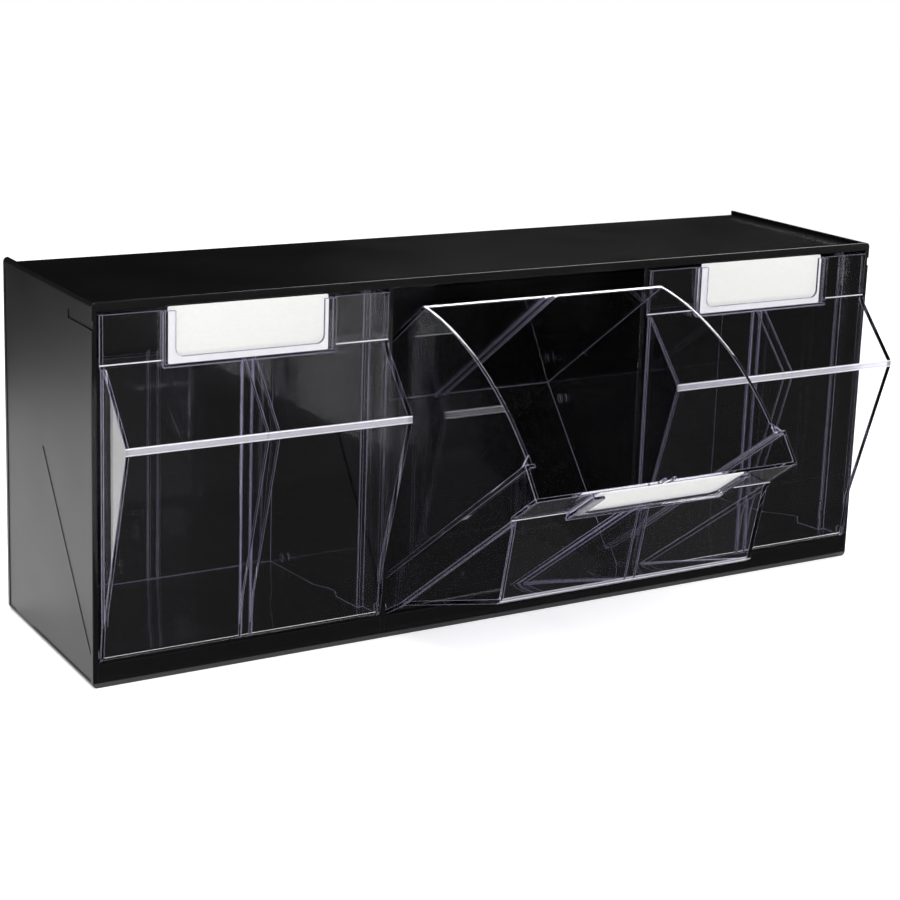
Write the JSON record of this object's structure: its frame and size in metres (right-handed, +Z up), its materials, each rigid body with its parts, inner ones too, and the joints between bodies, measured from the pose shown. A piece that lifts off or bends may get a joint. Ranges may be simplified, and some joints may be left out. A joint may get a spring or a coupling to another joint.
{
  "type": "tilt-out bin unit",
  "caption": "Black moulded housing with clear bins side by side; each bin tips forwards on foot trunnions to open and carries a bare label card.",
  "frame": {"origin": "centre of the housing's flat base", "axes": "+X along the row of bins to the right, the bins tip out towards -Y, +Z up"},
  "size_m": [0.6, 0.3309, 0.24],
  "materials": {
    "housing_black": "moulded high-impact polystyrene, semi-gloss black",
    "bin_clear": "moulded crystal polystyrene, clear and polished",
    "card_white": "matt white card, bare"
  },
  "bodies": {
    "housing": {"housing_top_panel": "housing_black", "housing_bottom_panel": "housing_black", "housing_back_panel": "housing_black", "left_end_panel": "housing_black", "right_end_panel": "housing_black", "left_divider": "housing_black", "right_divider": "housing_black"},
    "left_bin": {"bin_left": "bin_clear", "label_card_left": "card_white"},
    "middle_bin": {"bin_middle": "bin_clear", "label_card_middle": "card_white"},
    "right_bin": {"bin_right": "bin_clear", "label_card_right": "card_white"}
  },
  "joints": [
    {"name": "left_bin_tilt", "type": "hinge", "parent": "housing", "child": "left_bin", "pos_m": [-0.19873, -0.075, 0.0205], "axis": [1, 0, 0], "range_deg": [0, 54]},
    {"name": "middle_bin_tilt", "type": "hinge", "parent": "housing", "child": "middle_bin", "pos_m": [0, -0.075, 0.0205], "axis": [1, 0, 0], "range_deg": [-54, 0]},
    {"name": "right_bin_tilt", "type": "hinge", "parent": "housing", "child": "right_bin", "pos_m": [0.19873, -0.075, 0.0205], "axis": [1, 0, 0], "range_deg": [0, 54]}
  ]
}
